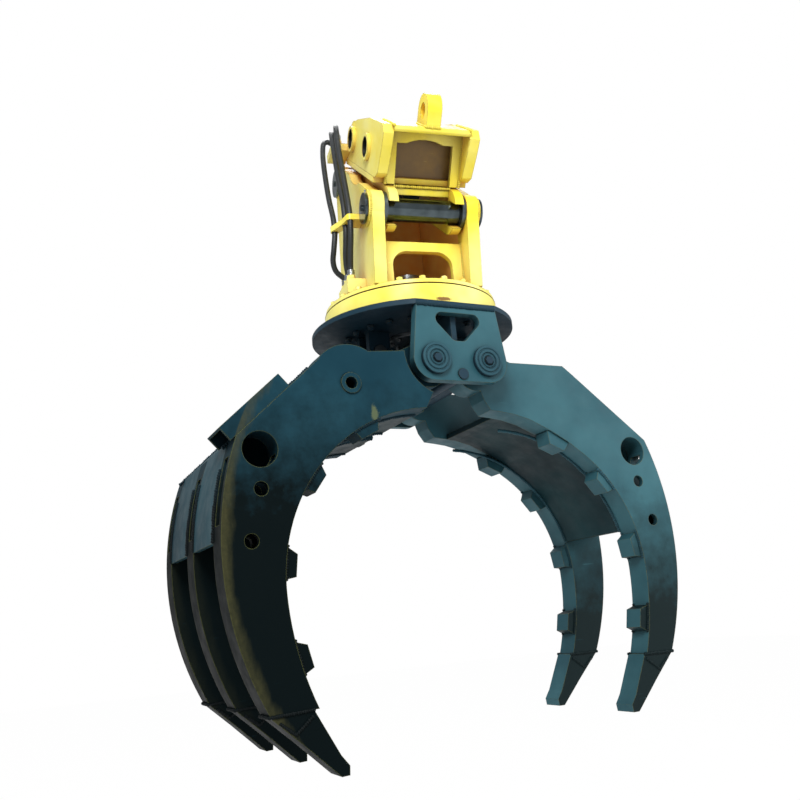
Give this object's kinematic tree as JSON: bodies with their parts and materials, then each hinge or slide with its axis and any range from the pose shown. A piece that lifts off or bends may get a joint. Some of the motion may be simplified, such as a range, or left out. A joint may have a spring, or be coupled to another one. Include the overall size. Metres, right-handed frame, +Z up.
{
  "type": "rotating pipe grapple",
  "caption": "Rotating two-jaw grapple for pipes and logs, with slewing ring, interleaving curved tines, push cylinders and a quick hitch.",
  "frame": {"origin": "centre of the hitch's stick bore, midway between its two bushes", "axes": "+Z up; +Y away from the hitch's front box, along the turntable's hinge pins; +X towards the jaw with two tines"},
  "size_m": [1.8354, 0.9534, 2.4637],
  "materials": {
    "yellow_paint": "gloss",
    "jaw_paint": "worn",
    "blue_paint": "worn",
    "dark_paint": "satin",
    "black_paint": "satin",
    "pin_steel": "turned",
    "machined_steel": "machined",
    "rod_chrome": "polished",
    "hose_rubber": "matte"
  },
  "bodies": {
    "head": {"base_plate": "yellow_paint", "ring_housing": "yellow_paint", "bearing_outer_ring": "machined_steel", "housing_bolts": "yellow_paint", "head_ear_left": "yellow_paint", "head_ear_right": "yellow_paint", "head_front_plate": "yellow_paint", "head_rear_plate": "yellow_paint", "front_pin": "pin_steel", "rear_pin": "pin_steel", "pin_collars": "pin_steel", "slew_motor": "black_paint", "union_stator": "machined_steel", "hose_blocks": "machined_steel", "hose_clamp": "yellow_paint", "hose_front": "hose_rubber", "hose_middle": "hose_rubber", "hose_rear": "hose_rubber", "hitch_cheek_left": "yellow_paint", "hitch_cheek_right": "yellow_paint", "hitch_deck": "yellow_paint", "hitch_front_box": "yellow_paint", "hitch_lifting_eye": "yellow_paint", "hitch_bushes": "pin_steel", "hitch_lock_barrel": "black_paint"},
    "turntable": {"turntable_disc": "dark_paint", "gear_ring": "machined_steel", "bearing_balls": "machined_steel", "union_rotor": "machined_steel", "hinge_plate_front": "blue_paint", "hinge_plate_rear": "blue_paint", "hinge_web": "dark_paint", "hinge_pin_left": "pin_steel", "hinge_pin_right": "pin_steel", "cylinder_lugs": "dark_paint", "cylinder_base_pins": "pin_steel"},
    "left_jaw": {"left_tine_front": "jaw_paint", "left_tine_middle": "jaw_paint", "left_tine_rear": "jaw_paint", "left_arms": "jaw_paint", "left_palm": "jaw_paint", "left_back": "jaw_paint", "left_guard_box": "jaw_paint", "left_cross_tube": "jaw_paint", "left_grips": "jaw_paint", "left_tips": "jaw_paint"},
    "right_jaw": {"right_tine_front": "blue_paint", "right_tine_rear": "blue_paint", "right_palm": "blue_paint", "right_back": "blue_paint", "right_cylinder_pin": "pin_steel", "right_grips": "blue_paint", "right_tips": "blue_paint"},
    "pinion": {"pinion": "machined_steel"},
    "left_barrel": {"left_cylinder_barrel": "black_paint"},
    "left_rod": {"left_cylinder_rod": "rod_chrome"},
    "right_barrel": {"right_cylinder_barrel": "black_paint"},
    "right_rod": {"right_cylinder_rod": "rod_chrome"},
    "lock": {"hitch_lock_jaw": "pin_steel"}
  },
  "joints": [
    {"name": "slew", "type": "hinge", "parent": "head", "child": "turntable", "pos_m": [0.00331, 0.01878, -0.87494], "axis": [0, 0, 1], "continuous": true},
    {"name": "pinion_spin", "type": "hinge", "parent": "head", "child": "pinion", "pos_m": [0.03665, 0.20786, -0.87494], "axis": [0, 0, 1], "continuous": true},
    {"name": "left_swing", "type": "hinge", "parent": "turntable", "child": "left_jaw", "pos_m": [-0.10129, 0.01878, -1.07694], "axis": [0, -1, 0], "range_deg": [-3.4, 34.6]},
    {"name": "right_swing", "type": "hinge", "parent": "turntable", "child": "right_jaw", "pos_m": [0.10791, 0.01878, -1.07694], "axis": [0, 1, 0], "range_deg": [0, 38]},
    {"name": "left_barrel_tilt", "type": "hinge", "parent": "turntable", "child": "left_barrel", "pos_m": [-0.17129, 0.01878, -0.95694], "axis": [0, -1, 0], "range_deg": [-3, 31]},
    {"name": "left_rod_slide", "type": "slide", "parent": "left_barrel", "child": "left_rod", "axis": [-0.7609, 0, -0.6488], "range_m": [-0.009, 0.08]},
    {"name": "right_barrel_tilt", "type": "hinge", "parent": "turntable", "child": "right_barrel", "pos_m": [0.17791, 0.01878, -0.95694], "axis": [0, 1, 0], "range_deg": [0, 34]},
    {"name": "right_rod_slide", "type": "slide", "parent": "right_barrel", "child": "right_rod", "axis": [0.7961, 0, -0.6052], "range_m": [0, 0.085]},
    {"name": "lock_slide", "type": "slide", "parent": "head", "child": "lock", "axis": [-0.1368, -0.776, -0.6157], "range_m": [0, 0.07]}
  ],
  "couplings": [
    {"joint": "pinion_spin", "follows": "slew", "ratio": 4},
    {"joint": "left_barrel_tilt", "follows": "left_swing", "ratio": 0.868},
    {"joint": "left_rod_slide", "follows": "left_swing", "m_per_rad": 0.128},
    {"joint": "right_barrel_tilt", "follows": "right_swing", "ratio": 0.88},
    {"joint": "right_rod_slide", "follows": "right_swing", "m_per_rad": 0.127}
  ]
}
